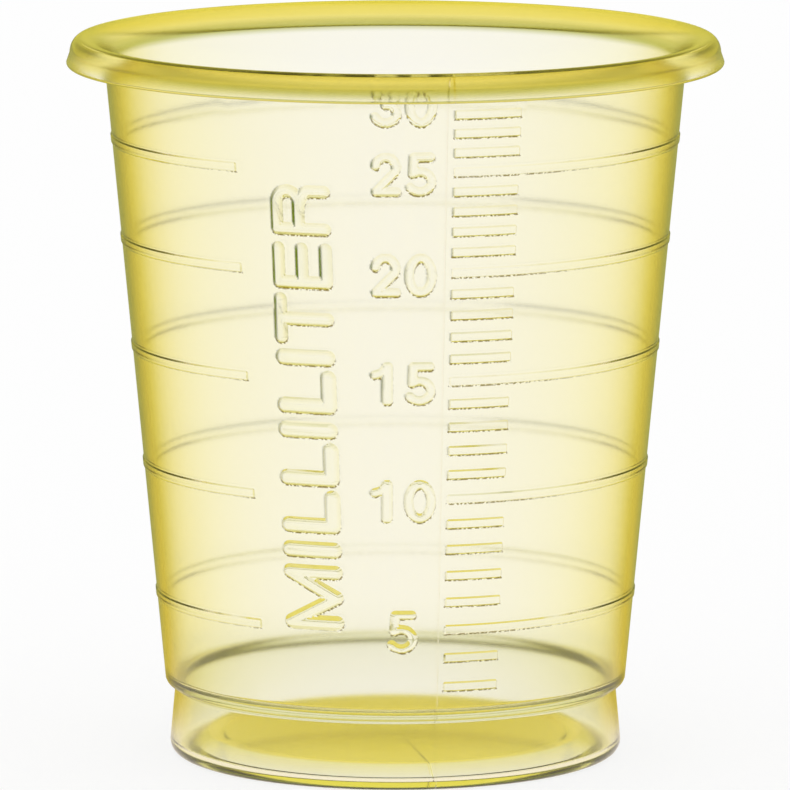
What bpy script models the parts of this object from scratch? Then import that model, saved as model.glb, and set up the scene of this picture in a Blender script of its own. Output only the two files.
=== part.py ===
"""Graduated 30 ml medicine cup: one thin-walled piece, moulded in translucent yellow plastic.

The cup is a section turned about Z. From the middle of the floor the section runs out to a
standing ring, up a short foot, over a stacking shoulder, up the tapered wall and over a
rolled rim that is open below. Raised fill lines stand on the outer wall. Their heights are
worked out from the volume that the inside really holds, so the scale follows every size.

Lengths are in metres, +Z is up, and the front of the cup, with its scale, faces -Y.
The origin is at the middle of the standing ring, on the surface that the cup stands on.
"""

import math

import bmesh
import bpy

MM = 0.001
ML = 1e-6

# Overall height and the tapered body
CUP_HEIGHT = 43.6 * MM
BODY_RADIUS_LOW = 13.93 * MM      # outside, at the shoulder
BODY_RADIUS_HIGH = 17.49 * MM     # outside, at the underside of the rim
WALL = 0.53 * MM

# Foot, stacking shoulder and floor
SHOULDER_HEIGHT = 4.30 * MM       # from the standing ring to the shoulder's underside
SHOULDER_STEP = 0.56 * MM         # from the body's outside in to the waist
SHOULDER_ROUND = 0.30 * MM
FOOT_FLARE = 0.31 * MM            # how much wider the foot is at its widest than at the waist
FOOT_ROUND = 0.68 * MM            # rounding between the foot and the standing ring
FOOT_ROUND_INSIDE = 0.35 * MM
STANDING_WIDTH = 1.30 * MM        # flat face that the cup rests on
FLOOR = 0.50 * MM                 # thickness of the floor
FLOOR_RAISE = 0.75 * MM           # gap between the floor and the table
FLOOR_RAMP = 1.30 * MM            # sloping ring between the floor and the standing ring

# Rolled rim
RIM_OVERHANG = 2.31 * MM          # from the body's outside to the lip's outside
RIM_DEPTH = 1.68 * MM             # from the crest down to the lip's edge
RIM_WALL = 0.50 * MM
CREST_INSET = 0.85 * MM           # from the lip's outside in to the crest
CREST_DROP = 0.90 * MM            # from the crest down to where the lip's straight face begins
LIP_LEAN = 0.20 * MM              # how much further out that face stands at its foot
LIP_ROUND = 0.20 * MM

# Fill lines
LINE_HEIGHT = 0.60 * MM
LINE_PROUD = 0.12 * MM
LINE_BEVEL = 0.10 * MM
FIRST_LINE = 3                    # millilitres
RING_EVERY = 5                    # millilitres
SCALE_LEFT = 11.5                 # degrees round from the front, to the right
SCALE_RIGHT = 25.15
RING_END = 326.8                  # a ring line stops here, left of the lettering's place

# Fineness of the curves
TURN_STEPS = 64
CORNER_STEPS = 2
ROUND_STEPS = 3
ROLL_STEPS = 5
LEVEL_TRIES = 48
ROUND_SHARE = 0.48                # most of a step's width that one rounding may take
SMOOTH_ANGLE = 40.0               # degrees, edges sharper than this stay crisp
WELD = 1e-7

PLASTIC_COLOR = (0.80, 0.71, 0.13, 1.0)
PLASTIC_ROUGHNESS = 0.22


def arc(center, reach, start, end, steps):
    """Points on an ellipse quarter or less, as (radius, height), from start to end in degrees."""
    points = []
    for step in range(steps + 1):
        angle = math.radians(start + (end - start) * step / steps)
        across = center[0] + reach[0] * math.cos(angle)
        up = center[1] + reach[1] * math.sin(angle)
        points.append((across, up))
    return points


def taper():
    """Growth of the body's radius for each metre of height."""
    rise = rim_underside() - SHOULDER_HEIGHT
    return (BODY_RADIUS_HIGH - BODY_RADIUS_LOW) / rise


def rim_underside():
    """Height of the lip's edge, where the straight wall ends and the roll begins."""
    return CUP_HEIGHT - RIM_DEPTH


def waist_radius():
    """Outside radius of the foot where it meets the shoulder."""
    return BODY_RADIUS_LOW - SHOULDER_STEP


def foot_radius():
    """Outside radius of the foot at its widest."""
    return waist_radius() + FOOT_FLARE


def crest_radius():
    """Radius of the rim's highest circle."""
    return BODY_RADIUS_HIGH + RIM_OVERHANG - CREST_INSET


def body_radius(height):
    """Outside radius of the tapered body at a height."""
    return BODY_RADIUS_LOW + taper() * (height - SHOULDER_HEIGHT)


def floor_profile(lift):
    """Floor, ramp and standing ring from the axis outward, on the skin that lies this much higher."""
    bend = math.atan2(FLOOR_RAISE, FLOOR_RAMP)
    shift = lift * math.tan(0.5 * bend)
    ramp_foot = foot_radius() - FOOT_ROUND - STANDING_WIDTH
    return [
        (0.0, FLOOR_RAISE + lift),
        (ramp_foot - FLOOR_RAMP + shift, FLOOR_RAISE + lift),
        (ramp_foot + shift, lift),
    ]


def shoulder_profile(waist, body, height):
    """The step of the shoulder, going up, with its inner and outer corners rounded alike."""
    rounding = min(SHOULDER_ROUND, ROUND_SHARE * (body - waist))
    reach = (rounding, rounding)
    points = arc((waist + rounding, height - rounding), reach, 180, 90, CORNER_STEPS)
    points += arc((body - rounding, height + rounding), reach, -90, 0, CORNER_STEPS)
    return points


def inside_profile():
    """Inner skin from the middle of the floor up to the crest of the rim."""
    foot = foot_radius() - WALL
    corner = (foot - FOOT_ROUND_INSIDE, FLOOR + FOOT_ROUND_INSIDE)
    ledge = SHOULDER_HEIGHT + WALL
    crest = crest_radius()
    roll = (crest - BODY_RADIUS_HIGH + WALL, RIM_DEPTH)

    points = floor_profile(FLOOR)
    points += arc(corner, (FOOT_ROUND_INSIDE, FOOT_ROUND_INSIDE), -90, 0, ROUND_STEPS)
    points += shoulder_profile(waist_radius() - WALL, body_radius(ledge) - WALL, ledge)
    points += arc((crest, rim_underside()), roll, 180, 90, ROLL_STEPS)
    return points


def outside_profile():
    """Outer skin from the crest of the rim down to the middle of the floor's underside."""
    crest = crest_radius()
    underside = rim_underside()
    fall = (crest, CUP_HEIGHT - CREST_DROP)
    lip = (crest + CREST_INSET - LIP_ROUND, underside + LIP_ROUND)
    face = CREST_INSET - LIP_LEAN
    hollow = (face - RIM_WALL, CREST_DROP - RIM_WALL)
    neck = (crest - BODY_RADIUS_HIGH, RIM_DEPTH - RIM_WALL)
    foot = (foot_radius() - FOOT_ROUND, FOOT_ROUND)

    points = arc(fall, (face, CREST_DROP), 90, 0, ROUND_STEPS)[1:]
    points += arc(lip, (LIP_ROUND, LIP_ROUND), 0, -90, CORNER_STEPS)
    points.append((crest + CREST_INSET - RIM_WALL, underside))
    points += arc(fall, hollow, 0, 90, CORNER_STEPS)
    points += arc((crest, underside), neck, 90, 180, ROUND_STEPS)[1:]
    points += reversed(shoulder_profile(waist_radius(), BODY_RADIUS_LOW, SHOULDER_HEIGHT))
    points += arc(foot, (FOOT_ROUND, FOOT_ROUND), 0, -90, ROUND_STEPS)
    points += reversed(floor_profile(0.0))
    return points


def volume_below(level):
    """Volume that the inside holds up to a level, by summing the section's cones."""
    total = 0.0
    points = inside_profile()
    for (r0, z0), (r1, z1) in zip(points, points[1:]):
        if z1 > level:
            r1 = r0 + (r1 - r0) * (level - z0) / (z1 - z0)
            z1 = level
        total += math.pi / 3 * (z1 - z0) * (r0 * r0 + r0 * r1 + r1 * r1)
        if z1 == level:
            break
    return total


def fill_height(volume):
    """Height of the surface when the cup holds a volume, found by halving."""
    low = SHOULDER_HEIGHT
    high = CUP_HEIGHT
    for _ in range(LEVEL_TRIES):
        middle = 0.5 * (low + high)
        if volume_below(middle) < volume:
            low = middle
        else:
            high = middle
    return low


def plastic():
    """Translucent yellow polypropylene."""
    material = bpy.data.materials.new("yellow_polypropylene")
    material.use_nodes = True
    shader = material.node_tree.nodes["Principled BSDF"]
    shader.inputs["Base Color"].default_value = PLASTIC_COLOR
    shader.inputs["Roughness"].default_value = PLASTIC_ROUGHNESS
    shader.inputs["Metallic"].default_value = 0.0
    material.diffuse_color = PLASTIC_COLOR
    material.roughness = PLASTIC_ROUGHNESS
    return material


def new_object(name, mesh_data, material):
    """Put a finished bmesh into the scene as a smooth-shaded object."""
    bmesh.ops.recalc_face_normals(mesh_data, faces=mesh_data.faces)
    mesh = bpy.data.meshes.new(name)
    mesh_data.to_mesh(mesh)
    mesh_data.free()
    mesh.materials.append(material)
    mesh.shade_smooth()
    mesh.set_sharp_from_angle(angle=math.radians(SMOOTH_ANGLE))
    piece = bpy.data.objects.new(name, mesh)
    bpy.context.scene.collection.objects.link(piece)
    return piece


def turn_body(material):
    """Turn the whole section about Z into the closed body of the cup."""
    shape = bmesh.new()
    section = [shape.verts.new((r, 0.0, z)) for r, z in inside_profile() + outside_profile()]
    edges = [shape.edges.new(pair) for pair in zip(section, section[1:])]
    bmesh.ops.spin(
        shape,
        geom=section + edges,
        cent=(0.0, 0.0, 0.0),
        axis=(0.0, 0.0, 1.0),
        angle=math.tau,
        steps=TURN_STEPS,
        use_merge=True,
    )
    bmesh.ops.remove_doubles(shape, verts=shape.verts, dist=WELD)
    return new_object("cup", shape, material)


def add_line(shape, level, start, end):
    """Turn one raised line's section round the wall, between two angles from the front."""
    foot = level - 0.5 * LINE_HEIGHT
    head = level + 0.5 * LINE_HEIGHT
    root = -0.5 * WALL
    outline = [
        (root, foot),
        (0.0, foot),
        (LINE_PROUD, foot + LINE_BEVEL),
        (LINE_PROUD, head - LINE_BEVEL),
        (0.0, head),
        (root, head),
    ]
    corners = [(body_radius(z) + out, z) for out, z in outline]

    first = math.radians(start)
    section = [shape.verts.new((r * math.sin(first), -r * math.cos(first), z)) for r, z in corners]
    face = shape.faces.new(section)
    sweep = math.radians(end - start)
    bmesh.ops.spin(
        shape,
        geom=[face] + list(face.edges) + section,
        cent=(0.0, 0.0, 0.0),
        axis=(0.0, 0.0, 1.0),
        angle=sweep,
        steps=max(2, round(TURN_STEPS * sweep / math.tau)),
    )


def raise_lines(body, material):
    """Stand the scale on the wall, up to the rim: a line for each millilitre, a ring for each fifth."""
    shape = bmesh.new()
    millilitres = FIRST_LINE
    level = fill_height(millilitres * ML)
    while level + 0.5 * LINE_HEIGHT < rim_underside():
        end = SCALE_RIGHT if millilitres % RING_EVERY else RING_END
        add_line(shape, level, SCALE_LEFT, end)
        millilitres += 1
        level = fill_height(millilitres * ML)
    lines = new_object("fill_lines", shape, material)
    lines.hide_render = True
    lines.display_type = "WIRE"
    union = body.modifiers.new("fill_lines", "BOOLEAN")
    union.operation = "UNION"
    union.solver = "EXACT"
    union.object = lines


def main():
    """Clear the scene and model the cup."""
    for old in list(bpy.data.objects):
        bpy.data.objects.remove(old)
    material = plastic()
    cup = turn_body(material)
    raise_lines(cup, material)


main()
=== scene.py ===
"""Looks of the medicine cup: the moulded skin with its scale and lettering, the plastic and the studio.

The cup is one closed surface of revolution. Its outer wall carries the raised scale as a height
that is added to the radius, so the wall, its lines, numbers and letters are one skin, as they
come out of one mould. Lengths are in metres, +Z is up and the scale faces -Y. Angles go round
from the front to the right.
"""

import math

import bpy
import numpy as np
from bpy.props import FloatProperty, FloatVectorProperty, IntProperty, PointerProperty
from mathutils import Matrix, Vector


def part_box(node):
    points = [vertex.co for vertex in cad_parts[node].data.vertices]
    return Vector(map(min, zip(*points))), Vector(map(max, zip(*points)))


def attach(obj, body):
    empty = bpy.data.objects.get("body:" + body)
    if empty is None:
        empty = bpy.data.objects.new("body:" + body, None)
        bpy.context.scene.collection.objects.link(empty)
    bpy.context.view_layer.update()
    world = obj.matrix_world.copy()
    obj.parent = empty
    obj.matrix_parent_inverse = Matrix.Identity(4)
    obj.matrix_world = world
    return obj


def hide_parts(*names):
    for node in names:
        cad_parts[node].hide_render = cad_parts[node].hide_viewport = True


bl_info = {
    "name": "Medicine cup",
    "version": (1, 0, 0),
    "blender": (4, 5, 0),
    "location": "3D View > Sidebar > Medicine cup",
    "description": "Models a graduated medicine cup in translucent plastic, and a studio round it",
    "category": "Add Mesh",
}

MM = 0.001
ML = 1e-6
HALVINGS = 40                 # tries that find a fill height
ARC_STEPS = 18                # points along a curved stroke
SEARCH_MARGIN = 0.3 * MM      # how far outside a stroke its depth is worked out
FAR_OFF = 1.0                 # metres, more than any place is from a stroke
TINY = 1e-9
LIGHT_BOUNCES = 10            # the light runs on inside the rim and the foot
PLASTIC_IOR = 1.49
SHARP_ANGLE = 28.0            # degrees, edges sharper than this stay crisp
UPRIGHT_OUTLINE = 0.30        # strength of the painted outline shade along a stroke's upright edge
OUTLINE_CHANGE = 0.60         # how much stronger that painted shade is along a lower edge, and weaker along an upper one
WIDE_COLUMN = 3               # fine steps from column to column where the wall is plain
BAR_COLUMN = 4                # fine steps from column to column along the short lines
FLOOR_SIDES = 96              # corners of the floor's edge
NEAREST_SEEN = 0.01           # metres from the camera
FARTHEST_SEEN = 100.0
OPAQUE_WHITE = (1.0, 1.0, 1.0, 1.0)

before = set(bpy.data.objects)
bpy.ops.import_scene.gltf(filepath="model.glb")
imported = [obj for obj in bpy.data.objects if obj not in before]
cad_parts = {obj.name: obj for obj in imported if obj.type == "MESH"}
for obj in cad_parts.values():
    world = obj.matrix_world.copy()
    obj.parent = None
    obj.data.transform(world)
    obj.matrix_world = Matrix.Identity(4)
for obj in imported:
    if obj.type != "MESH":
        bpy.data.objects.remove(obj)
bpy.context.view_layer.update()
CUP_LOW, CUP_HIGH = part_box("cup")


# Properties


def length(name, description, millimetres):
    """A size, with a length's unit."""
    return FloatProperty(
        name=name, description=description, default=millimetres * MM, precision=5, unit="LENGTH"
    )


def angle(name, description, degrees):
    """A direction, with an angle's unit."""
    return FloatProperty(name=name, description=description, default=math.radians(degrees), unit="ROTATION")


def count(name, description, default):
    """A whole number."""
    return IntProperty(name=name, description=description, default=default, min=1)


def factor(name, description, default):
    """A number without a unit."""
    return FloatProperty(name=name, description=description, default=default, precision=4)


def color(name, description, default):
    """A colour."""
    return FloatVectorProperty(name=name, description=description, default=default, size=3, subtype="COLOR")


class CupSizes(bpy.types.PropertyGroup):
    """Sizes of the turned section, which the solid model has too."""

    height: FloatProperty(
        name="Height", description="From the table to the crest of the rim", default=CUP_HIGH.z, unit="LENGTH"
    )
    lip_radius: FloatProperty(
        name="Lip radius", description="Outside of the lip", default=CUP_HIGH.x, unit="LENGTH"
    )
    body_low: length("Body radius, low", "Outside of the body at the shoulder", 13.93)
    wall: length("Wall", "Thickness of the wall", 0.53)
    shoulder_height: length("Shoulder height", "From the table to the shoulder's underside", 4.30)
    shoulder_step: length("Shoulder step", "From the body's outside in to the waist", 0.56)
    shoulder_round: length("Shoulder rounding", "Rounding of both corners of the shoulder", 0.27)
    foot_flare: length("Foot flare", "How much wider the foot is than the waist", 0.31)
    foot_round: length("Foot rounding", "Between the foot and the standing ring", 0.68)
    foot_round_inside: length("Foot rounding inside", "The same corner on the inside", 0.35)
    standing_width: length("Standing ring", "Width of the flat ring that the cup rests on", 1.30)
    floor: length("Floor", "Thickness of the floor", 0.50)
    floor_raise: length("Floor raise", "Gap between the floor and the table", 0.75)
    floor_ramp: length("Floor ramp", "Sloping ring between the floor and the standing ring", 1.30)
    rim_overhang: length("Rim overhang", "From the body's outside to the lip's outside", 2.31)
    rim_depth: length("Rim depth", "From the crest down to the lip's edge", 1.68)
    rim_wall: length("Rim wall", "Thickness of the lip", 0.50)
    crest_wall: length("Crest wall", "Thickness of the rolled rim at its crest", 0.28)
    crest_inset: length("Crest inset", "From the lip's outside in to the crest", 0.85)
    crest_drop: length("Crest drop", "From the crest down to where the lip's straight face begins", 0.90)
    lip_lean: length("Lip lean", "How much further out that face stands at its foot", 0.20)
    lip_round: length("Lip rounding", "Rounding of the lip's lower edge", 0.20)
    # where the roll's and the shoulder's painted shade lies, which partly stands for their thicker plastic
    gather_height: length("Gathered plastic", "From the lip's edge up to the roll's thickest place", 0.44)
    gather_reach: length("Gathered reach", "How far up and down a thick part fades out", 0.46)
    shoulder_share: factor("Shoulder's share", "Strength of the shoulder's tint, against the roll's", 0.40)
    rim_start: length("Rim tint", "From the lip's edge up to where the rim's own tint begins", 0.30)
    ramp_thicker: length("Ramp thickening", "How much further out the ramp lies on the inside", 0.80)
    brace: length("Brace", "How close to its ends a straight stretch has a further row", 0.08)
    corner_steps: count("Corner steps", "Steps round a small corner", 6)
    roll_steps: count("Roll steps", "Steps round the rolled rim", 14)


class ScaleSizes(bpy.types.PropertyGroup):
    """Sizes and places of the raised lines, numbers and letters."""

    line_height: length("Line height", "Height of a raised line", 0.60)
    line_proud: length("Line relief", "How far a line stands off the wall", 0.12)
    ring_proud: length("Long line relief", "How far a long line stands off the wall", 0.07)
    line_bevel: length("Line bevel", "Width of a line's rounded edges", 0.10)
    first_line: count("First line", "Lowest line, in millilitres", 3)
    ring_every: count("Ring every", "Millilitres from one long line to the next", 5)
    # where the painted green shade of the relief's left-facing edges lies
    side_start: angle("Side shade, start", "Turn of an edge to the left at which its shade begins", 40.0)
    side_end: angle("Side shade, end", "Turn at which it is full", 54.0)
    side_low: length("Side shade, low", "Height below which the edges have no such shade", 8.0)
    side_high: length("Side shade, high", "Height above which it is full", 28.0)
    line_left: angle("Lines' left end", "Where every line begins", 11.5)
    line_right: angle("Short lines' right end", "Where the short lines end", 25.15)
    ring_end: angle("Long lines' end", "Where the long lines end, all the way round", 326.8)
    number_angle: angle("Numbers", "Middle of the numbers", 1.60)
    number_height: length("Number height", "Outer height of a number", 2.64)
    number_drop: length("Number drop", "How far a number's middle lies below its line's middle", 0.09)
    mark_rise: length("Mark rise", "How far above its true level a mark high on the cup stands", 0.15)
    mark_true: length("True mark", "Height at which a mark stands at its true level", 15.5)
    mark_reach: length("Mark reach", "Height over which the rise settles", 8.8)
    # how the painted outline shade fades round the cup
    fade_start: angle("Fading, start", "Turn from the front at which the outlines begin to fade", 25.0)
    fade_end: angle("Fading, end", "Turn at which they are faintest", 42.0)
    faintest: factor("Faintest outline", "Share of an outline's strength that is left there", 0.45)
    last_number: count("Last number", "Highest number, which has no line", 30)
    last_number_level: length("Last number's level", "Its middle, lowered to fit under the rim", 41.57)
    digit_width: length("Digit width", "Outer width of a digit", 1.92)
    digit_gap: length("Digit gap", "Between two digits", 0.13)
    digit_stroke: length("Digit stroke", "Width of a digit's stroke", 0.58)
    digit_proud: length("Digit relief", "How far a digit stands off the wall", 0.22)
    digit_slope: length("Digit edge", "Width of a digit's rounded edge", 0.26)
    word_angle: angle("Unit word", "Middle of the unit word, which reads upwards", -19.35)
    word_foot: length("Unit word's foot", "Height at which the unit word begins", 9.83)
    letter_height: length("Letter height", "Outer height of a letter", 3.74)
    letter_proud: length("Letter relief", "How far a letter stands off the wall", 0.26)
    letter_slope: length("Letter edge", "Width of a letter's rounded edge", 0.34)
    above_lip: length("Relief above the lip", "How far up under the roll the relief may reach", 0.30)
    fine_step: length("Fine step", "Mesh spacing where the relief is", 0.092)
    coarse_turn: angle("Coarse step", "Mesh spacing round the back", 2.7)
    coarse_rows: count("Coarse rows", "Fine rows from one row of the back to the next", 24)


class PlasticFinish(bpy.types.PropertyGroup):
    """Colour and surface of the plastic."""

    tint: color("Tint", "What the skin lets through square on", (1.0, 0.985, 0.985))
    film: color("Film", "What it lets through for each further thickness at a slant", (0.99, 0.95, 0.61))
    depth_color: color("Depth colour", "Colour that the plastic deepens to", (0.88, 0.92, 0.0))
    depth_density: factor("Depth density", "How fast it deepens, for each metre", 140.0)
    least_cosine: factor("Least cosine", "Most slanting crossing that the film still deepens with", 0.20)
    rim_color: color("Rim", "Further tint of the rolled rim", (0.97, 0.91, 0.50))
    # painted shade inside the roll and under the shoulder, partly the thicker plastic's deeper colour
    gathered_color: color("Gathered plastic", "Further tint at the thickest places", (0.46, 0.49, 0.09))
    # painted shade: the cup's floor is tinted darker yellow for the shaded table seen through it
    floor_color: color("Floor", "Further tint of the floor", (0.97, 0.89, 0.32))
    # painted shade: broken dark lines along the relief's outlines
    outline: color("Outline", "Darkening along the outlines of the relief", (0.12, 0.08, 0.008))
    line_low: factor("Outline, start", "Nearness to an outline at which its line begins", 0.10)
    line_high: factor("Outline, end", "Nearness at which it is full", 0.60)
    # painted shade: green on the relief's left-facing edges
    side_color: color("Left edges", "Tint of the relief's edges that face left", (0.02, 0.05, 0.0))
    edge_film: factor("Film on edges", "Share of it that the relief's, lip's and foot's edges keep", 0.30)
    rim_cosine: factor("Least cosine on the rim", "The same for the rolled rim", 0.45)
    break_scale: factor("Breaks", "Breaks along the outlines, for each metre", 7000.0)
    break_low: factor("Breaks, low", "Noise below which an outline is gone", 0.36)
    break_high: factor("Breaks, high", "Noise above which it is whole", 0.56)
    rim_roughness: factor("Rim roughness", "Roughness of the rolled rim", 0.15)
    roughness: factor("Roughness", "Roughness of the moulded skin", 0.08)


class StudioSettings(bpy.types.PropertyGroup):
    """Camera, floor and light."""

    camera_distance: length("Camera distance", "From the camera to the middle of the cup", 580.0)
    camera_tilt: angle("Camera tilt", "How far the camera looks down", 8.895)
    target_height: length("Target height", "Height of the point in the middle of the picture", 21.745)
    target_side: length("Target side", "How far right of the cup's axis that point lies", -0.02)
    camera_lens: factor("Lens", "Focal length in millimetres", 436.8)
    floor_radius: length("Floor radius", "Radius of the floor", 4000.0)
    floor_gap: length("Floor gap", "Between the standing ring and the floor", 0.02)
    floor_color: color("Floor colour", "Plain pale floor", (0.95, 0.95, 0.95))
    floor_glow: factor("Floor glow", "Share of the floor's brightness to the camera that is its own", 0.8)
    floor_mirrored: factor("Floor mirrored", "Share of the mirrored colours in the floor's reflection", 0.85)
    sky_start: angle("Sky, start", "Elevation at which the overhead colour begins, through the plastic", 4.0)
    sky_end: angle("Sky, end", "Elevation at which it is full", 24.0)
    sky_color: color("Sky colour", "Overhead colour that shows through the plastic", (0.72, 0.68, 0.25))
    behind_color: color("Behind colour", "Mirrored colour straight behind the cup", (0.35, 0.35, 0.0))
    side_start: angle("Side, start", "Bearing from straight behind at which the side colour begins", 18.0)
    side_end: angle("Side, end", "Bearing at which it is full", 45.0)
    side_color: color("Side colour", "Mirrored colour to the sides, behind the cup", (0.72, 0.55, 0.0))
    front_start: angle("Front, start", "Bearing at which the front colour is full", 80.0)
    front_color: color("Front colour", "Mirrored colour in front of the cup", (1.0, 0.90, 0.80))
    top_start: angle("Top, start", "Elevation at which the mirrored overhead colour begins", -5.0)
    top_end: angle("Top, end", "Elevation at which it is full", 1.5)
    top_color: color("Top colour", "Mirrored colour overhead", (0.85, 0.78, 0.14))


# The turned section, as arrays of (radius, height)


def arc(center, reach, start, end, steps):
    """Points on an ellipse: centre plus reach times the cosine and sine of an even angle, in degrees."""
    turn = np.radians(np.linspace(start, end, steps + 1))
    return np.column_stack([center[0] + reach[0] * np.cos(turn), center[1] + reach[1] * np.sin(turn)])


def braced(s, points):
    """Add a point close to both ends of each long stretch, so that its shading stays flat up to the bend."""
    run = np.diff(points, axis=0)
    size = np.hypot(run[:, 0], run[:, 1])[:, None]
    step = run * s.brace / size
    near = np.stack([points[:-1], points[:-1] + step, points[1:] - step], axis=1)
    kept = np.repeat(size > 4 * s.brace, 3, axis=1)
    kept[:, 0] = True
    return np.concatenate([near[kept], points[-1:]])


def rim_underside(s):
    """Height of the lip's edge."""
    return s.height - s.rim_depth


def crest_radius(s):
    """Radius of the rim's highest circle."""
    return s.lip_radius - s.crest_inset


def body_high(s):
    """Outside radius of the body at the lip's edge."""
    return s.lip_radius - s.rim_overhang


def waist_radius(s):
    """Outside radius of the foot where it meets the shoulder."""
    return s.body_low - s.shoulder_step


def foot_radius(s):
    """Outside radius of the foot at its widest."""
    return waist_radius(s) + s.foot_flare


def wall_radius(s, height):
    """Radius of the outer wall: a straight taper, then the roll's quarter ellipse above the lip's edge."""
    underside = rim_underside(s)
    taper = (body_high(s) - s.body_low) / (underside - s.shoulder_height)
    straight = s.body_low + taper * (height - s.shoulder_height)
    rise = np.clip((height - underside) / (s.rim_depth - s.crest_wall), 0.0, 1.0)
    rolled = crest_radius(s) - (crest_radius(s) - body_high(s)) * np.sqrt(1.0 - rise * rise)
    return np.where(height > underside, rolled, straight)


def floor_profile(s, lift):
    """Floor, ramp and standing ring from the axis outward, on the skin that lies this much higher."""
    turn = math.atan2(s.floor_raise, s.floor_ramp)
    shift = lift * math.tan(0.5 * turn) + s.ramp_thicker * lift / s.floor
    ramp_foot = foot_radius(s) - s.foot_round - s.standing_width
    return np.array(
        [
            (0.0, s.floor_raise + lift),
            (0.5 * ramp_foot, s.floor_raise + lift),
            (ramp_foot - s.floor_ramp + shift, s.floor_raise + lift),
            (ramp_foot + shift, lift),
        ]
    )


def shoulder_profile(s, waist, body, height):
    """The step of the shoulder, going up: two arcs of the same rounding, one hollow and one proud."""
    reach = (s.shoulder_round, s.shoulder_round)
    low = arc((waist + s.shoulder_round, height - s.shoulder_round), reach, 180, 90, s.corner_steps)
    high = arc((body - s.shoulder_round, height + s.shoulder_round), reach, -90, 0, s.corner_steps)
    return np.concatenate([low, high])


def inside_profile(s):
    """Inner skin from the middle of the floor up to the crest of the rim."""
    foot = foot_radius(s) - s.wall
    corner = (foot - s.foot_round_inside, s.floor + s.foot_round_inside)
    ledge = s.shoulder_height + s.wall
    crest = crest_radius(s)
    roll = (crest - body_high(s) + s.wall, s.rim_depth)
    return np.concatenate(
        [
            floor_profile(s, s.floor),
            arc(corner, (s.foot_round_inside, s.foot_round_inside), -90, 0, s.corner_steps),
            shoulder_profile(s, waist_radius(s) - s.wall, wall_radius(s, ledge) - s.wall, ledge),
            arc((crest, rim_underside(s)), roll, 180, 90, s.roll_steps),
        ]
    )


def rim_profile(s, top):
    """From the crest over the lip, round its lower edge and under the roll, down to a height on the wall."""
    crest = crest_radius(s)
    underside = rim_underside(s)
    fall = (crest, s.height - s.crest_drop)
    lip = (s.lip_radius - s.lip_round, underside + s.lip_round)
    face = s.crest_inset - s.lip_lean
    hollow = (face - s.rim_wall, s.crest_drop - s.crest_wall)
    neck = (crest - body_high(s), s.rim_depth - s.crest_wall)
    meets = 180.0 - math.degrees(math.asin((top - underside) / neck[1]))
    return np.concatenate(
        [
            arc(fall, (face, s.crest_drop), 90, 0, s.roll_steps)[1:],
            arc(lip, (s.lip_round, s.lip_round), 0, -90, s.corner_steps),
            [(s.lip_radius - s.rim_wall, underside)],
            arc(fall, hollow, 0, 90, s.corner_steps),
            arc((crest, underside), neck, 90, meets, s.corner_steps)[1:-1],
        ]
    )


def foot_profile(s):
    """From the shoulder's underside down the foot, under the standing ring and to the floor's middle."""
    foot = (foot_radius(s) - s.foot_round, s.foot_round)
    return np.concatenate(
        [
            shoulder_profile(s, waist_radius(s), s.body_low, s.shoulder_height)[::-1],
            arc(foot, (s.foot_round, s.foot_round), 0, -90, s.corner_steps),
            floor_profile(s, 0.0)[::-1],
        ]
    )


def volume_below(s, level):
    """Volume inside the cup up to a level: the sum of the section's cones, the last one cut at the level."""
    r0, z0 = inside_profile(s)[:-1].T
    r1, z1 = inside_profile(s)[1:].T
    rise = z1 - z0
    climbs = rise > 0.0
    part = np.where(climbs, np.clip((level - z0) / np.where(climbs, rise, 1.0), 0.0, 1.0), 1.0)
    r1 = r0 + (r1 - r0) * part
    return np.sum(math.pi / 3 * rise * part * (r0 * r0 + r0 * r1 + r1 * r1))


def fill_height(s, millilitres):
    """Height of the surface when the cup holds so much, found by halving."""
    low, high = s.shoulder_height, s.height
    for _ in range(HALVINGS):
        middle = 0.5 * (low + high)
        if volume_below(s, middle) < millilitres * ML:
            low = middle
        else:
            high = middle
    return low


def mark_height(s, z, millilitres):
    """Height of a mark: its fill height, and a rise that settles with height as an exponential does."""
    level = fill_height(s, millilitres)
    return level + z.mark_rise * (1.0 - math.exp((z.mark_true - level) / z.mark_reach))


# Strokes of the digits and letters, in their own upright frame


def digit_strokes(digit, w, h):
    """Middle lines of a digit's strokes, in a box that reaches w to each side and h up and down."""
    if digit == "0":
        return [arc((0.0, 0.0), (w, h), 0, 360, 2 * ARC_STEPS)]
    if digit == "1":
        stem = np.array([(0.08 * w, h), (0.08 * w, -h), (0.24 * w, -h), (0.24 * w, h)])
        flag = np.array([(0.16 * w, 0.98 * h), (-0.38 * w, 0.62 * h), (-0.92 * w, 0.52 * h)])
        return [stem, flag]
    if digit == "2":
        top = arc((-0.02 * w, 0.42 * h), (0.90 * w, 0.58 * h), 172, -30, ARC_STEPS)
        return [np.concatenate([top, [(-0.86 * w, -h), (0.94 * w, -h)]])]
    if digit == "3":
        top = arc((-0.04 * w, 0.52 * h), (0.80 * w, 0.48 * h), 160, -90, ARC_STEPS)
        low = arc((-0.04 * w, -0.46 * h), (0.98 * w, 0.54 * h), 90, -160, ARC_STEPS)
        return [top, low]
    bowl = arc((-0.08 * w, -0.42 * h), (1.02 * w, 0.58 * h), 128, -146, ARC_STEPS)
    return [np.concatenate([[(0.84 * w, h), (-0.62 * w, h)], bowl])]


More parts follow.
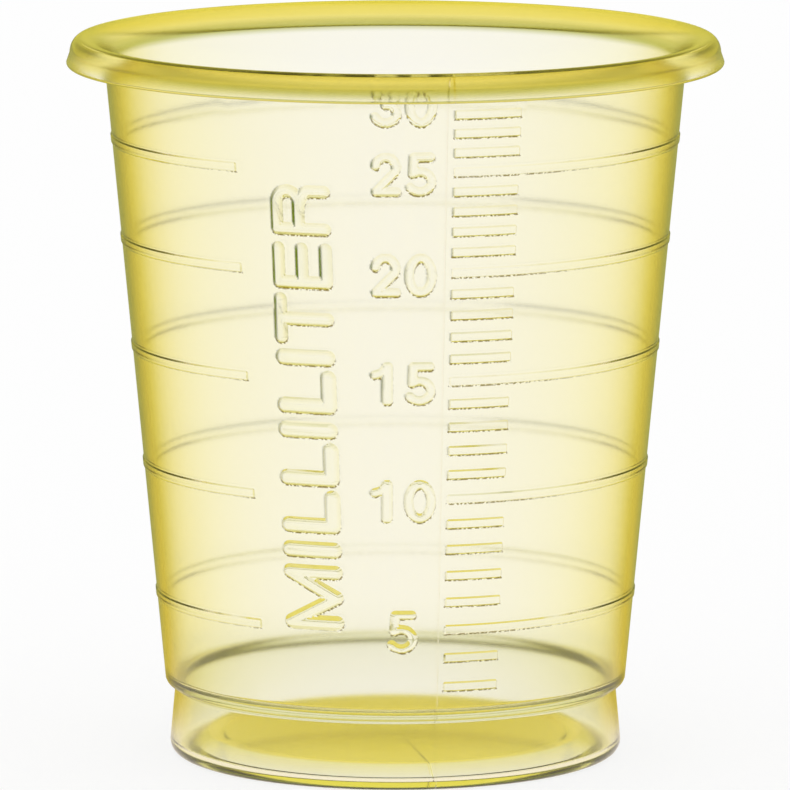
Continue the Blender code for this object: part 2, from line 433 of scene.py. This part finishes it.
def letter_strokes(letter, w, h):
    """Middle lines of a letter's strokes, in a box that is w wide from 0 and reaches h up and down."""
    stem = np.array([(0.0, -h), (0.0, h)])
    if letter == "I":
        return [stem]
    if letter == "L":
        return [stem, np.array([(0.0, -h), (w, -h)])]
    if letter == "T":
        return [np.array([(0.0, h), (w, h)]), stem + (0.5 * w, 0.0)]
    if letter == "E":
        return [stem] + [np.array([(0.0, y), (w, y)]) for y in (-h, 0.0, h)]
    if letter == "M":
        return [stem, np.array([(0.0, h), (0.5 * w, -h), (w, h), (w, -h)])]
    loop = 0.46 * h
    middle = h - 2.0 * loop
    bowl = arc((w - loop, h - loop), (loop, loop), 90, -90, ARC_STEPS)
    bowl = np.concatenate([[(0.0, h)], bowl, [(0.0, middle)]])
    leg = arc((w - 2.0 * loop, middle - loop), (2.0 * loop, loop), 90, 0, ARC_STEPS)
    return [stem, bowl, np.concatenate([leg, [(w, -h)]])]


# Letters of the unit word: outer width, stroke, and the space before and after, in millimetres
LETTERS = {
    "M": (3.94, 0.88, 0.19, 0.18),
    "I": (1.04, 1.00, 0.24, 0.24),
    "L": (2.67, 0.98, 0.21, -0.01),
    "T": (3.10, 0.84, 0.00, -0.07),
    "E": (2.80, 0.80, 0.33, 0.16),
    "R": (3.04, 0.78, 0.25, 0.12),
}
UNIT_WORD = "MILLILITER"


class Relief:
    """Raised strokes over a grid of places on the wall.

    depth is how far a place lies inside the outline of its nearest stroke, negative outside, and
    (away_across, away_up) is the unit direction towards that outline. proud and slope are the height
    and the width of the rounded edge of that stroke.
    """

    def __init__(self, angles, heights, radii):
        self.angles = angles
        self.radii = radii
        self.across = angles * radii
        self.up = heights
        self.depth = np.full(angles.shape, -1.0)
        self.away_across = np.zeros(angles.shape)
        self.away_up = np.zeros(angles.shape)
        self.proud = np.ones(angles.shape)
        self.slope = np.ones(angles.shape)

    def face(self, middle):
        """Measure across from this angle on, along the wall."""
        self.across = (self.angles - middle) * self.radii

    def take(self, places, depth, away_across, away_up, proud, slope):
        """Keep this stroke at the places where it lies deeper than what is there."""
        won = depth > self.depth[places]
        new = {"depth": depth, "away_across": away_across, "away_up": away_up, "proud": proud, "slope": slope}
        for name, value in new.items():
            field = getattr(self, name)
            field[places] = np.where(won, value, field[places])

    def add_stroke(self, points, half_width, proud, slope):
        """A round-ended stroke along a polyline: depth is its half width less the distance to the line."""
        low = points.min(axis=0) - half_width - SEARCH_MARGIN
        high = points.max(axis=0) + half_width + SEARCH_MARGIN
        places = (self.across > low[0]) & (self.across < high[0]) & (self.up > low[1]) & (self.up < high[1])
        place = np.stack([self.across[places], self.up[places]], axis=-1)
        gap = np.full(len(place), FAR_OFF)
        off = np.zeros(place.shape)
        for start, end in zip(points, points[1:]):
            run = end - start
            along = np.clip((place - start) @ run / (run @ run), 0.0, 1.0)
            new_off = place - start - along[:, None] * run
            new_gap = np.hypot(new_off[:, 0], new_off[:, 1])
            closer = new_gap < gap
            gap = np.where(closer, new_gap, gap)
            off = np.where(closer[:, None], new_off, off)
        away = off / np.maximum(gap, TINY)[:, None]
        self.take(places, half_width - gap, away[:, 0], away[:, 1], proud, slope)

    def add_bar(self, left, right, level, half_height, proud, slope):
        """A flat bar between two angles: depth is the distance to its nearest side."""
        margin = SEARCH_MARGIN / self.radii.min()
        places = (self.angles > left - margin) & (self.angles < right + margin)
        places &= np.abs(self.up - level) < half_height + SEARCH_MARGIN
        to_left = (self.angles[places] - left) * self.radii[places]
        to_right = (right - self.angles[places]) * self.radii[places]
        side = np.minimum(to_left, to_right)
        rise = self.up[places] - level
        by_side = side < half_height - np.abs(rise)
        away_across = np.where(by_side, np.sign(to_left - to_right), 0.0)
        away_up = np.where(by_side, 0.0, np.sign(rise))
        self.take(places, np.minimum(side, half_height - np.abs(rise)), away_across, away_up, proud, slope)

    def settle(self, step, contours):
        """Move places that lie within half a step of one of these depths onto it, for crisp outlines."""
        for contour in contours:
            miss = self.depth - contour
            near = np.abs(miss) < 0.5 * step
            move = np.where(near, miss, 0.0)
            self.angles = self.angles + move * self.away_across / self.radii
            self.up = self.up + move * self.away_up
            self.depth = np.where(near, contour, self.depth)

    def height(self):
        """How far the skin stands off the wall: a quarter of a sine wave over the edge's width, then flat."""
        part = np.clip(self.depth / self.slope, 0.0, 1.0)
        return self.proud * np.sin(0.5 * np.pi * part)

    def tilt(self):
        """Angle between the skin and the wall, from the slope of that wave, and 0 outside the strokes."""
        part = np.clip(self.depth / self.slope, 0.0, 1.0)
        steep = 0.5 * np.pi * self.proud / self.slope * np.cos(0.5 * np.pi * part)
        return np.where(self.depth >= 0.0, np.arctan(steep), 0.0)


def line_levels(s, z):
    """Millilitres and heights of the raised lines, up to the last that ends below the lip."""
    levels = []
    millilitres = z.first_line
    level = mark_height(s, z, millilitres)
    while level + 0.5 * z.line_height < rim_underside(s):
        levels.append((millilitres, level))
        millilitres += 1
        level = mark_height(s, z, millilitres)
    return levels


def add_lines(relief, s, z):
    """The scale: a short bar for each millilitre, and a long one, nearly all round, for each fifth."""
    half = 0.5 * z.line_height
    for millilitres, level in line_levels(s, z):
        if millilitres % z.ring_every:
            relief.add_bar(z.line_left, z.line_right, level, half, z.line_proud, z.line_bevel)
            continue
        for turn in (0.0, math.tau):
            relief.add_bar(z.line_left - turn, z.ring_end - turn, level, half, z.ring_proud, z.line_bevel)


def add_numbers(relief, s, z):
    """A number beside each long line, its digits side by side."""
    relief.face(z.number_angle)
    half = 0.5 * z.digit_stroke
    box = (0.5 * z.digit_width - half, 0.5 * z.number_height - half)
    for millilitres in range(z.ring_every, z.last_number + 1, z.ring_every):
        level = mark_height(s, z, millilitres) - z.number_drop
        if millilitres == z.last_number:
            level = z.last_number_level
        digits = str(millilitres)
        for place, digit in enumerate(digits):
            middle = ((place - 0.5 * (len(digits) - 1)) * (z.digit_width + z.digit_gap), level)
            for stroke in digit_strokes(digit, *box):
                relief.add_stroke(stroke + middle, half, z.digit_proud, z.digit_slope)


def add_word(relief, z):
    """The unit word, reading upwards: a letter's right is up the wall, and its top is to the left."""
    relief.face(z.word_angle)
    foot = z.word_foot
    for letter in UNIT_WORD:
        width, stroke_width, before, after = (value * MM for value in LETTERS[letter])
        half = 0.5 * stroke_width
        if foot > z.word_foot:
            foot += before
        for stroke in letter_strokes(letter, width - stroke_width, 0.5 * z.letter_height - half):
            turned = np.column_stack([-stroke[:, 1], stroke[:, 0] + foot + half])
            relief.add_stroke(turned, half, z.letter_proud, z.letter_slope)
        foot += width + after


# The mesh: rows of vertices all round, closer together where the relief is


def spread(start, end, step):
    """Even values from start up to but without end, no further apart than step."""
    return np.linspace(start, end, max(1, math.ceil((end - start) / step)), endpoint=False)


def column_angles(s, z):
    """Angles of the columns, and how many of them belong to the finely divided front."""
    fine = z.fine_step / wall_radius(s, 0.5 * s.height)
    wide = WIDE_COLUMN * fine
    along_bar = BAR_COLUMN * fine
    word = 0.5 * z.letter_height / wall_radius(s, z.word_foot) + wide
    number = (z.digit_width + z.digit_gap) / wall_radius(s, fill_height(s, 2 * z.ring_every)) + wide
    end = z.ring_end - math.tau
    tip = along_bar
    zones = [
        (end - tip, end + tip, fine),
        (end + tip, z.word_angle - word, wide),
        (z.word_angle - word, z.word_angle + word, fine),
        (z.word_angle + word, z.number_angle - number, wide),
        (z.number_angle - number, z.number_angle + number, fine),
        (z.number_angle + number, z.line_left - tip, wide),
        (z.line_left - tip, z.line_left + tip, fine),
        (z.line_left + tip, z.line_right - tip, along_bar),
        (z.line_right - tip, z.line_right + tip, fine),
    ]
    front = np.concatenate([spread(*zone) for zone in zones])
    back = spread(z.line_right + tip, end - tip + math.tau, z.coarse_turn)
    return np.concatenate([front, back]), len(front)


def wall_rows(s, z, top):
    """Heights of the outer wall's rows from the top down, and which of them go all the way round.

    The rows are even, and the nearest one is moved to each edge of a line, so that the lines are crisp.
    """
    bottom = s.shoulder_height + s.shoulder_round
    rows = np.linspace(top, bottom, math.ceil((top - bottom) / z.fine_step) + 1)
    all_round = np.arange(len(rows)) % z.coarse_rows == 0
    all_round[[0, 1, -2, -1]] = True
    outer = 0.5 * z.line_height
    inner = outer - z.line_bevel
    edges = [(rim_underside(s), True), (rim_underside(s) + 0.5 * z.above_lip, True)]
    for millilitres, level in line_levels(s, z):
        long_line = millilitres % z.ring_every == 0
        for offset in (inner - z.fine_step, inner, outer, outer + z.fine_step):
            edges += [(level - offset, long_line), (level + offset, long_line)]
    for height, long_line in edges:
        nearest = np.argmin(np.abs(rows - height))
        rows[nearest] = height
        all_round[nearest] |= long_line
    return rows, all_round


def seam(index, fine, coarse, full, coarse_first):
    """Triangles between a column that has every row and a neighbour that has only the full ones.

    Each step of the fine column joins the nearer end of the coarse step beside it, and each coarse step
    joins the fine column at its middle.
    """
    step = np.arange(full[0], full[-1])
    span = np.searchsorted(full, step, side="right") - 1
    middle = (full[:-1] + full[1:]) // 2
    tip = np.where(step < middle[span], full[span], full[span + 1])
    small = [index[step, fine], index[step + 1, fine], index[tip, coarse]]
    large = [index[full[:-1], coarse], index[middle, fine], index[full[1:], coarse]]
    if coarse_first:
        small.reverse()
        large.reverse()
    return [np.column_stack(small), np.column_stack(large)]


def quads(index, rows, columns, stand_off):
    """Two triangles for each cell, cut along the diagonal whose ends stand off the wall more alike."""
    a = index[np.ix_(rows[:-1], columns[:-1])].ravel()
    b = index[np.ix_(rows[1:], columns[:-1])].ravel()
    c = index[np.ix_(rows[1:], columns[1:])].ravel()
    d = index[np.ix_(rows[:-1], columns[1:])].ravel()
    along_ac = np.abs(stand_off[a] - stand_off[c]) <= np.abs(stand_off[b] - stand_off[d])
    return [
        np.column_stack([a, b, np.where(along_ac, c, d)]),
        np.column_stack([np.where(along_ac, a, b), c, d]),
    ]


def cup_surface(s, z):
    """Vertices, triangles and masks of the whole cup.

    The section runs from the middle of the floor up the inside, over the rim, down the outer wall and under
    the foot. Each of its points is turned into a row of vertices, at radius times sine and minus cosine of
    the column's angle. On the wall the relief is added to the radius.
    """
    top = rim_underside(s) + z.above_lip
    ramp_top = foot_radius(s) - s.foot_round - s.standing_width - s.floor_ramp + s.ramp_thicker
    inside = braced(s, inside_profile(s))
    above = np.concatenate([inside[1:], rim_profile(s, top)])
    below = braced(s, foot_profile(s))[1:]
    heights, all_round = wall_rows(s, z, top)
    columns, front = column_angles(s, z)

    turns, ups = np.meshgrid(columns, heights)
    relief = Relief(turns, ups, wall_radius(s, ups))
    add_lines(relief, s, z)
    add_numbers(relief, s, z)
    add_word(relief, z)
    relief.settle(z.fine_step, (0.0, z.line_bevel))

    def stack(above_rows, wall, below_rows):
        """Rows above the wall, the wall's own and the rows below it, as one grid."""
        parts = [above_rows[:, None] + 0.0 * columns, wall, below_rows[:, None] + 0.0 * columns]
        return np.concatenate(parts)

    def even(values):
        return np.zeros(len(values))

    radius = stack(above[:, 0], wall_radius(s, relief.up) + relief.height(), below[:-1, 0])
    height = stack(above[:, 1], relief.up, below[:-1, 1])
    turn = stack(even(above), relief.angles - turns, even(below[:-1])) + columns
    stand_off = stack(even(above), relief.height(), even(below[:-1]))
    # painted shade inside the roll and under the shoulder, partly standing for their thicker plastic
    from_roll = np.abs(height - rim_underside(s) - s.gather_height)
    from_shoulder = np.abs(height - s.shoulder_height - 0.5 * s.shoulder_round)
    inner_side = radius < crest_radius(s)
    in_roll = np.where(inner_side, 1.0 - from_roll / s.gather_reach, 0.0)
    lip_foot = ~inner_side & (height < rim_underside(s) + s.rim_start) & (height > rim_underside(s) - s.brace)
    standing = (radius > ramp_top) & (height < s.floor_raise + s.floor)
    in_shoulder = s.shoulder_share * (1.0 - from_shoulder / s.gather_reach)
    masks = {
        # painted shade along the relief's outlines
        "outline": stack(even(above), outline_mask(relief, z), even(below[:-1])),
        # painted green shade on the relief's left-facing edges
        "side": stack(even(above), side_mask(relief, z), even(below[:-1])),
        "edge": np.where(lip_foot | standing, 1.0, stack(even(above), edge_mask(relief), even(below[:-1]))),
        "rim": np.clip((height - rim_underside(s) - s.rim_start) / s.lip_round, 0.0, 1.0),
        # painted shade, partly thicker plastic, in the roll and under the shoulder
        "gathered": np.clip(np.maximum(in_roll, in_shoulder), 0.0, 1.0),
        # painted shade over the cup's floor, for the shaded table seen through it
        "floor": np.clip((ramp_top - radius) / s.floor, 0.0, 1.0),
    }

    full = np.concatenate([np.full(len(above), True), all_round, np.full(len(below) - 1, True)])
    there = np.repeat(full[:, None], len(columns), axis=1)
    there[:, :front] = True
    index = np.full(there.shape, -1)
    index[there] = np.arange(there.sum())

    places = [radius * np.sin(turn), -radius * np.cos(turn), height]
    vertices = np.column_stack([place[there] for place in places])
    poles = np.array([(0.0, 0.0, inside[0, 1]), (0.0, 0.0, below[-1, 1])])
    triangles = cup_triangles(index, np.flatnonzero(full), front, stand_off[there], len(vertices))
    masks = {name: np.concatenate([mask[there], mask[(0, -1), (0, 0)]]) for name, mask in masks.items()}
    return np.concatenate([vertices, poles]), triangles, masks


def cup_triangles(index, full, front, stand_off, first_pole):
    """The skin: fine cells in front, coarse ones behind, a seam on both sides and a fan at each pole."""
    count_all = index.shape[1]
    every = np.arange(index.shape[0])
    around = np.append(np.arange(count_all), 0)
    triangles = quads(index, every, np.arange(front), stand_off)
    triangles += quads(index, full, np.arange(front, count_all), stand_off)
    triangles += seam(index, front - 1, front, full, False)
    triangles += seam(index, 0, count_all - 1, full, True)
    ring_in = index[0, around]
    ring_out = index[-1, around]
    pole_in = np.full(count_all, first_pole)
    triangles.append(np.column_stack([pole_in, ring_in[:-1], ring_in[1:]]))
    triangles.append(np.column_stack([ring_out[:-1], pole_in + 1, ring_out[1:]]))
    return np.concatenate(triangles)


def outline_mask(relief, z):
    """Strength of the outlines: full on an outline, and nothing a mesh step to both sides of it.

    These dark outlines are painted shade: strong along lower edges and faint along upper ones, as shade
    falls on the relief, and they fade round the cup.
    """
    near = np.clip(1.0 - np.abs(relief.depth) / z.fine_step, 0.0, 1.0)
    strength = np.maximum(UPRIGHT_OUTLINE - OUTLINE_CHANGE * relief.away_up, 0.0)
    round_cup = np.clip((np.abs(relief.angles) - z.fade_start) / (z.fade_end - z.fade_start), 0.0, 1.0)
    return near * strength * (1.0 - (1.0 - z.faintest) * round_cup)


def edge_mask(relief):
    """1 on the sloping edges of the strokes."""
    return np.where((relief.depth >= 0.0) & (relief.depth <= relief.slope), 1.0, 0.0)


def side_mask(relief, z):
    """How far the edges of strokes turn to the left: the wall's own angle and the edge's tilt, added up.

    It paints green shade on the edges that face left. Low on the cup the mask fades out.
    """
    facing = -relief.angles - relief.away_across * relief.tilt()
    turned = np.clip((facing - z.side_start) / (z.side_end - z.side_start), 0.0, 1.0)
    high = np.clip((relief.up - z.side_low) / (z.side_high - z.side_low), 0.0, 1.0)
    return np.where(relief.tilt() > 0.0, turned * high * np.maximum(-relief.away_across, 0.0), 0.0)


def mesh_object(name, vertices, triangles):
    """Put vertices and triangles into the scene as a smooth mesh."""
    mesh = bpy.data.meshes.new(name)
    mesh.vertices.add(len(vertices))
    mesh.vertices.foreach_set("co", vertices.astype(np.float32).ravel())
    mesh.loops.add(triangles.size)
    mesh.loops.foreach_set("vertex_index", triangles.astype(np.int32).ravel())
    mesh.polygons.add(len(triangles))
    mesh.polygons.foreach_set("loop_start", np.arange(0, triangles.size, 3, dtype=np.int32))
    mesh.update(calc_edges=True)
    if mesh.validate():
        raise RuntimeError(f"the mesh of {name} had faults")
    mesh.shade_smooth()
    piece = bpy.data.objects.new(name, mesh)
    bpy.context.scene.collection.objects.link(piece)
    return piece


# Materials


def add_node(tree, kind, inputs=None, **settings):
    """Add a node, set its settings, and fill each named input with a value or with a link from a socket."""
    node = tree.nodes.new(kind)
    for name, value in settings.items():
        setattr(node, name, value)
    for name, value in (inputs or {}).items():
        if isinstance(value, bpy.types.NodeSocket):
            tree.links.new(value, node.inputs[name])
        else:
            node.inputs[name].default_value = value
    return node


def calculate(tree, operation, first, second=0.0, clamp=False):
    """The result of a Math node."""
    node = add_node(tree, "ShaderNodeMath", {0: first, 1: second}, operation=operation, use_clamp=clamp)
    return node.outputs[0]


def blend_colors(tree, kind, share, first, second):
    """The result of mixing two colours."""
    inputs = {"Factor": share, "A": first, "B": second}
    node = tree.nodes.new("ShaderNodeMix")
    node.data_type = "RGBA"
    node.blend_type = kind
    for socket in node.inputs:
        if socket.enabled and socket.name in inputs:
            value = inputs[socket.name]
            if isinstance(value, bpy.types.NodeSocket):
                tree.links.new(value, socket)
            else:
                socket.default_value = value
    return next(socket for socket in node.outputs if socket.enabled)


def ramp(tree, value, start, end):
    """0 before start, 1 past end and smooth between."""
    return add_node(
        tree,
        "ShaderNodeMapRange",
        {"Value": value, "From Min": start, "From Max": end},
        interpolation_type="SMOOTHSTEP",
    ).outputs["Result"]


def opaque(rgb):
    """A colour with full alpha."""
    return (*rgb, 1.0)


def new_material(name):
    """A material with an empty node tree, and its output."""
    material = bpy.data.materials.new(name)
    material.use_nodes = True
    material.node_tree.nodes.clear()
    return material, material.node_tree


def skin_values(masks, f):
    """What the material reads at each vertex, worked out from the masks.

    The tint is the product of the plain tint and of those that the masks blend in: the rim's own, and painted
    shade on the roll, the shoulder, the floor and the relief's left edges. The least cosine and the
    roughness change to the rim's own on the rim, and the edges keep only a share of the film.
    """
    # all but the rim's tint are painted shade; the roll's and the shoulder's partly stand for thicker plastic
    further = {"rim": f.rim_color, "gathered": f.gathered_color, "floor": f.floor_color, "side": f.side_color}
    tint = np.repeat([tuple(f.tint)], len(masks["rim"]), axis=0)
    for name, rgb in further.items():
        share = masks[name][:, None]
        tint = tint * (1.0 - share + share * np.array(rgb))
    return {
        "tint": tint,
        "outline": masks["outline"],
        "least_cosine": f.least_cosine + masks["rim"] * (f.rim_cosine - f.least_cosine),
        "film_kept": 1.0 - masks["edge"] * (1.0 - f.edge_film),
        "dullness": f.roughness + masks["rim"] * (f.rim_roughness - f.roughness),
    }


def make_plastic(f):
    """Translucent yellow polypropylene.

    Light is tinted where it crosses the skin, by the film's colour to the power of the extra way that a
    slanting crossing has, and deepens inside the wall. The tint is stronger where the plastic gathers, partly
    as painted shade in the roll and under the shoulder, and the floor carries painted shade. The outlines of
    the relief get painted shade as broken dark lines, and its left edges painted green shade.
    """
    material, tree = new_material("yellow_polypropylene")
    read = {
        name: add_node(tree, "ShaderNodeAttribute", attribute_name=name).outputs
        for name in ("tint", "outline", "least_cosine", "film_kept", "dullness")
    }
    facing = add_node(tree, "ShaderNodeLayerWeight", {"Blend": 0.5}).outputs["Facing"]
    square = calculate(tree, "SUBTRACT", 1.0, facing)
    cosine = calculate(tree, "MAXIMUM", square, read["least_cosine"]["Fac"])
    slant = calculate(tree, "SUBTRACT", calculate(tree, "DIVIDE", 1.0, cosine), 1.0)
    slant = calculate(tree, "MULTIPLY", slant, read["film_kept"]["Fac"])
    film = add_node(tree, "ShaderNodeGamma", {"Color": opaque(f.film), "Gamma": slant}).outputs[0]
    # the tint carries the rim's own tint and the masks' painted shade
    shade = blend_colors(tree, "MULTIPLY", 1.0, film, read["tint"]["Color"])
    # painted shade: broken dark lines along the relief's outlines
    place = add_node(tree, "ShaderNodeTexCoord").outputs["Object"]
    breaks = add_node(tree, "ShaderNodeTexNoise", {"Vector": place, "Scale": f.break_scale, "Detail": 0.0})
    broken = ramp(tree, breaks.outputs["Fac"], f.break_low, f.break_high)
    drawn = ramp(tree, read["outline"]["Fac"], f.line_low, f.line_high)
    line = calculate(tree, "MULTIPLY", drawn, broken)
    shade = blend_colors(tree, "MULTIPLY", line, shade, opaque(f.outline))
    shader = add_node(
        tree,
        "ShaderNodeBsdfPrincipled",
        {
            "Base Color": shade,
            "Roughness": read["dullness"]["Fac"],
            "IOR": PLASTIC_IOR,
            "Transmission Weight": 1.0,
        },
    )
    depth = add_node(
        tree,
        "ShaderNodeVolumeAbsorption",
        {"Color": opaque(f.depth_color), "Density": f.depth_density},
    )
    add_node(
        tree,
        "ShaderNodeOutputMaterial",
        {"Surface": shader.outputs["BSDF"], "Volume": depth.outputs["Volume"]},
    )
    return material


def mirrored_surroundings(tree, studio, direction):
    """What the plastic mirrors: olive straight behind the cup, amber beside that and pale in front."""
    axis = add_node(tree, "ShaderNodeSeparateXYZ", {0: direction}).outputs
    bearing = calculate(tree, "ABSOLUTE", calculate(tree, "ARCTAN2", axis["X"], axis["Y"]))
    side = ramp(tree, bearing, studio.side_start, studio.side_end)
    front = ramp(tree, bearing, studio.side_end, studio.front_start)
    behind = blend_colors(tree, "MIX", side, opaque(studio.behind_color), opaque(studio.side_color))
    return blend_colors(tree, "MIX", front, behind, opaque(studio.front_color))


def was_mirrored(tree, path):
    """1 for light that was mirrored in the plastic and met nothing matt on its way."""
    mirrored = calculate(tree, "GREATER_THAN", path["Glossy Depth"], 0.5)
    return calculate(tree, "MULTIPLY", mirrored, calculate(tree, "LESS_THAN", path["Diffuse Depth"], 0.5))


def make_floor_paint(studio):
    """Plain pale floor, mirrored in the plastic with the same colours as the world.

    Part of its brightness is its own, to the camera and through the plastic, so that it is white there.
    """
    material, tree = new_material("pale_floor")
    path = add_node(tree, "ShaderNodeLightPath").outputs
    place = add_node(tree, "ShaderNodeTexCoord").outputs["Object"]
    direct = calculate(tree, "MAXIMUM", path["Is Camera Ray"], path["Is Transmission Ray"])
    share = calculate(tree, "MULTIPLY", direct, studio.floor_glow)
    paint = add_node(tree, "ShaderNodeBsdfDiffuse", {"Color": opaque(studio.floor_color)})
    white = add_node(tree, "ShaderNodeEmission", {"Color": OPAQUE_WHITE})
    seen = add_node(tree, "ShaderNodeEmission", {"Color": mirrored_surroundings(tree, studio, place)})
    plain = add_node(tree, "ShaderNodeMixShader", {0: share, 1: paint.outputs[0], 2: white.outputs[0]})
    mirrored = calculate(tree, "MULTIPLY", was_mirrored(tree, path), studio.floor_mirrored)
    mixed = add_node(tree, "ShaderNodeMixShader", {0: mirrored, 1: plain.outputs[0], 2: seen.outputs[0]})
    add_node(tree, "ShaderNodeOutputMaterial", {"Surface": mixed.outputs[0]})
    return material


# Studio


def make_floor(studio):
    """A round floor: a middle, and one ring at the radius times the cosine and sine of an even angle."""
    turn = np.linspace(0.0, math.tau, FLOOR_SIDES, endpoint=False)
    ring = np.column_stack([np.cos(turn), np.sin(turn), np.zeros(len(turn))]) * studio.floor_radius
    vertices = np.concatenate([[(0.0, 0.0, 0.0)], ring])
    vertices[:, 2] = -studio.floor_gap
    here = np.arange(1, len(turn) + 1)
    triangles = np.column_stack([np.zeros(len(turn), int), here, np.roll(here, -1)])
    floor = mesh_object("floor", vertices, triangles)
    floor.data.materials.append(make_floor_paint(studio))
    return floor


def make_world(studio):
    """White all round, for the camera and as light.

    Seen straight through the plastic it is white low down and olive overhead, which draws the lower edges of
    the relief. Mirrored in the plastic it is olive behind the cup, amber beside that and pale in front of it.
    Its light is so even that the rays which meet it by chance are enough.
    """
    world = bpy.data.worlds.new("white_studio")
    world.use_nodes = True
    tree = world.node_tree
    tree.nodes.clear()
    direction = add_node(tree, "ShaderNodeTexCoord").outputs["Generated"]
    up = add_node(tree, "ShaderNodeSeparateXYZ", {0: direction}).outputs["Z"]
    high = ramp(tree, up, math.sin(studio.sky_start), math.sin(studio.sky_end))
    through = blend_colors(tree, "MIX", high, OPAQUE_WHITE, opaque(studio.sky_color))
    top = ramp(tree, up, math.sin(studio.top_start), math.sin(studio.top_end))
    level = mirrored_surroundings(tree, studio, direction)
    mirrored = blend_colors(tree, "MIX", top, level, opaque(studio.top_color))
    path = add_node(tree, "ShaderNodeLightPath").outputs
    matt = calculate(tree, "GREATER_THAN", path["Diffuse Depth"], 0.5)
    crossed = calculate(tree, "SUBTRACT", path["Is Transmission Ray"], matt, clamp=True)
    seen = blend_colors(tree, "MIX", crossed, OPAQUE_WHITE, through)
    final = blend_colors(tree, "MIX", was_mirrored(tree, path), seen, mirrored)
    background = add_node(tree, "ShaderNodeBackground", {"Color": final, "Strength": 1.0})
    add_node(tree, "ShaderNodeOutputWorld", {"Surface": background.outputs[0]})
    world.cycles.sampling_method = "NONE"
    bpy.context.scene.world = world


def make_camera(studio):
    """The photograph's view: a long lens, straight in front of the cup and a little above it."""
    data = bpy.data.cameras.new("camera")
    data.lens = studio.camera_lens
    data.clip_start = NEAREST_SEEN
    data.clip_end = FARTHEST_SEEN
    camera = bpy.data.objects.new("camera", data)
    tilt = studio.camera_tilt
    away = studio.camera_distance
    camera.location = (
        studio.target_side,
        -away * math.cos(tilt),
        studio.target_height + away * math.sin(tilt),
    )
    camera.rotation_euler = (0.5 * math.pi - tilt, 0.0, 0.0)
    bpy.context.scene.collection.objects.link(camera)
    bpy.context.scene.camera = camera


# Operators, panel and registration


class MouldCup(bpy.types.Operator):
    """Mould the cup: one closed skin with its scale, in translucent plastic"""

    bl_idname = "medicine_cup.mould_cup"
    bl_label = "Mould cup"

    def execute(self, context):
        """Make the cup's mesh and material, and let it stand for the solid."""
        scene = context.scene
        vertices, triangles, masks = cup_surface(scene.cup_sizes, scene.cup_scale)
        cup = mesh_object("moulded_cup", vertices, triangles)
        cup.data.set_sharp_from_angle(angle=math.radians(SHARP_ANGLE))
        for name, values in skin_values(masks, scene.cup_plastic).items():
            kind, key = ("FLOAT_VECTOR", "vector") if values.ndim > 1 else ("FLOAT", "value")
            attribute = cup.data.attributes.new(name, kind, "POINT")
            attribute.data.foreach_set(key, values.astype(np.float32).ravel())
        cup.data.materials.append(make_plastic(scene.cup_plastic))
        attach(cup, "root")
        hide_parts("cup")
        return {"FINISHED"}


class SetStage(bpy.types.Operator):
    """Lay the floor, light it and place the camera"""

    bl_idname = "medicine_cup.set_stage"
    bl_label = "Set stage"

    def execute(self, context):
        """Make the floor, the world and the camera."""
        studio = context.scene.cup_studio
        make_floor(studio)
        make_world(studio)
        make_camera(studio)
        context.scene.view_settings.view_transform = "Standard"
        for kind in ("max_bounces", "glossy_bounces", "transmission_bounces"):
            setattr(context.scene.cycles, kind, LIGHT_BOUNCES)
        return {"FINISHED"}


class CupPanel(bpy.types.Panel):
    """Lists the cup's pieces and its stage"""

    bl_idname = "VIEW3D_PT_medicine_cup"
    bl_label = "Medicine cup"
    bl_space_type = "VIEW_3D"
    bl_region_type = "UI"
    bl_category = "Medicine cup"

    def draw(self, context):
        """A button for each piece, and the sizes and colours below."""
        layout = self.layout
        for operator in OPERATORS:
            layout.operator(operator.bl_idname)
        for name, group in GROUPS.items():
            layout.label(text=group.__doc__)
            for key in group.__annotations__:
                layout.prop(getattr(context.scene, name), key)


GROUPS = {
    "cup_sizes": CupSizes,
    "cup_scale": ScaleSizes,
    "cup_plastic": PlasticFinish,
    "cup_studio": StudioSettings,
}
OPERATORS = (MouldCup, SetStage)


def register():
    """Register the classes and put their settings on the scene."""
    for item in (*GROUPS.values(), *OPERATORS, CupPanel):
        bpy.utils.register_class(item)
    for name, group in GROUPS.items():
        setattr(bpy.types.Scene, name, PointerProperty(type=group))


def unregister():
    """Take the settings off the scene and unregister the classes."""
    for name in GROUPS:
        delattr(bpy.types.Scene, name)
    for item in reversed((*GROUPS.values(), *OPERATORS, CupPanel)):
        bpy.utils.unregister_class(item)


def main():
    """Register the add-on, and make the cup and the stage."""
    register()
    bpy.ops.medicine_cup.mould_cup()
    bpy.ops.medicine_cup.set_stage()


if __name__ == "__main__":
    main()
